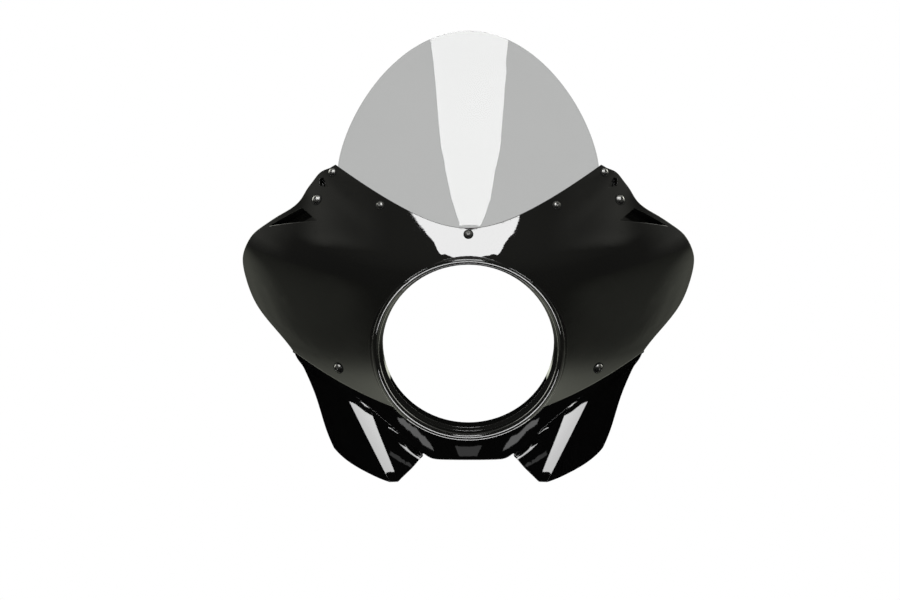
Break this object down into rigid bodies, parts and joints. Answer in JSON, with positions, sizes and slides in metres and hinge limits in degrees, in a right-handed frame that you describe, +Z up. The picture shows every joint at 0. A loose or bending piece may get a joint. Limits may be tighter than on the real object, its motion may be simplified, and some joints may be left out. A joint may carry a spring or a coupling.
{
  "type": "motorbike half fairing",
  "caption": "Gloss black half fairing with swept-back wings around a round headlight opening, a smoked windscreen, a lobed lower cowl and fork brackets.",
  "frame": {"origin": "centre of the headlight opening, where its round wall starts behind the lip", "axes": "-Y along the headlight opening towards the front, +Z up, +X towards the right bracket"},
  "size_m": [0.5442, 0.2086, 0.5282],
  "materials": {
    "cowl_black": "gloss",
    "chin_black": "high gloss",
    "smoked_screen": "polished",
    "screw_steel": "satin",
    "washer_black": "satin",
    "rubber_black": "matte",
    "nut_steel": "zinc plated",
    "bracket_black": "satin powder coat"
  },
  "bodies": {
    "root": {"upper_cowl": "cowl_black", "lower_cowl": "chin_black", "windscreen": "smoked_screen", "screen_screws": "screw_steel", "screen_washers": "washer_black", "well_nuts": "rubber_black", "bracket_screws": "screw_steel", "bracket_washers": "washer_black", "bracket_spacers": "rubber_black", "bracket_nuts": "nut_steel", "left_bracket": "bracket_black", "right_bracket": "bracket_black"}
  },
  "joints": []
}
